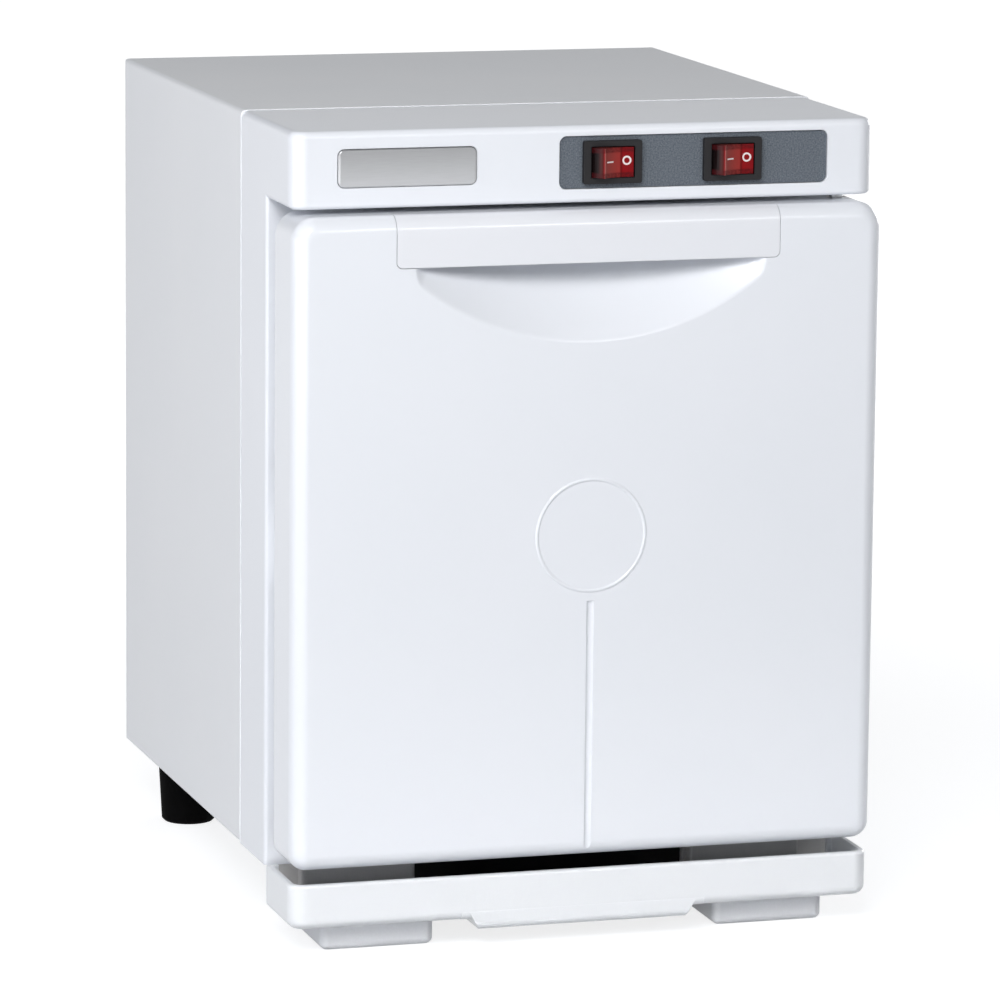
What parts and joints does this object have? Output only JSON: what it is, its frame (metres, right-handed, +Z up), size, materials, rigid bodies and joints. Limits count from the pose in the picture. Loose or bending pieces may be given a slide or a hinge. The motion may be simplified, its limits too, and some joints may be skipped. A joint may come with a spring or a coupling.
{
  "type": "towel warmer",
  "caption": "Table-top towel warming cabinet with a side-hung door, finger scoop, pull-out drip tray, rocker switches and a heated chamber with a rack.",
  "frame": {"origin": "on the surface the cabinet stands on, under the middle of its bounding box", "axes": "+Z up, -Y towards the front with the door, +X to the right seen from the front"},
  "size_m": [0.2134, 0.2586, 0.2888],
  "materials": {
    "white_steel": "satin powder coat",
    "back_steel": "satin powder coat",
    "zinc_steel": "zinc plated",
    "white_abs": "moulded, semi-gloss",
    "chamber_aluminium": "mill finish",
    "mineral_wool": "fibrous",
    "orange_silicone": "matt",
    "brown_phenolic": "moulded",
    "steatite": "unglazed",
    "quartz_glass": "clear",
    "white_nylon": "moulded",
    "bright_wire": "plated wire",
    "choke_steel": "varnished",
    "cream_thermoset": "moulded",
    "grey_panel": "fine speckled print",
    "silver_badge": "brushed, domed",
    "black_nylon": "moulded",
    "red_polycarbonate": "translucent, polished",
    "tinned_brass": "bright",
    "handle_abs": "moulded, semi-gloss",
    "liner_abs": "moulded",
    "cream_foam": "open-cell foam",
    "clear_silicone": "matt",
    "ferrite": "ground",
    "tray_abs": "moulded, semi-gloss",
    "black_abs": "moulded, fine grain",
    "foot_abs": "moulded",
    "black_rubber": "matt",
    "screw_steel": "zinc plated"
  },
  "bodies": {
    "cabinet": {"outer_casing": "white_steel", "back_panel": "back_steel", "base_pan": "zinc_steel", "front_bezel": "white_abs", "inner_chamber": "chamber_aluminium", "chamber_insulation": "mineral_wool", "heater_mat": "orange_silicone", "component_shelf": "zinc_steel", "thermostat": "brown_phenolic", "thermal_fuse": "steatite", "uv_lamp": "quartz_glass", "uv_lamp_holders": "white_nylon", "lamp_screws": "screw_steel", "uv_lamp_guard": "bright_wire", "uv_ballast": "choke_steel", "lamp_starter": "white_nylon", "terminal_block": "cream_thermoset", "towel_rack": "bright_wire", "control_plate": "grey_panel", "name_badge": "silver_badge", "power_switch_body": "black_nylon", "uv_switch_body": "black_nylon", "switch_terminals": "tinned_brass", "upper_hinge_bracket": "zinc_steel", "lower_hinge_bracket": "zinc_steel", "hinge_screws": "screw_steel", "hinge_pins": "screw_steel", "catch_magnet": "ferrite", "tray_guide": "black_abs", "front_foot_left": "foot_abs", "front_foot_right": "foot_abs", "rear_foot_left": "black_rubber", "rear_foot_right": "black_rubber", "foot_screws": "screw_steel", "back_screws": "screw_steel", "power_inlet": "black_abs", "inlet_pins": "tinned_brass"},
    "door": {"door_shell": "white_abs", "handle_insert": "handle_abs", "door_inner_panel": "liner_abs", "door_insulation": "cream_foam", "door_gasket": "clear_silicone", "strike_plate": "screw_steel", "door_bushes": "white_nylon"},
    "tray": {"drip_tray": "tray_abs"},
    "power_rocker": {"power_rocker": "red_polycarbonate"},
    "uv_rocker": {"uv_rocker": "red_polycarbonate"}
  },
  "joints": [
    {"name": "door_hinge", "type": "hinge", "parent": "cabinet", "child": "door", "pos_m": [0.096, -0.1088, 0.0314], "axis": [0, 0, 1], "range_deg": [0, 110]},
    {"name": "tray_slide", "type": "slide", "parent": "cabinet", "child": "tray", "axis": [0, -1, 0], "range_m": [0, 0.06]},
    {"name": "power_rocker_tilt", "type": "hinge", "parent": "cabinet", "child": "power_rocker", "pos_m": [0.0529, -0.119, 0.2756], "axis": [0, 0, -1], "range_deg": [0, 32]},
    {"name": "uv_rocker_tilt", "type": "hinge", "parent": "cabinet", "child": "uv_rocker", "pos_m": [0.0091, -0.119, 0.2756], "axis": [0, 0, -1], "range_deg": [0, 32]}
  ]
}
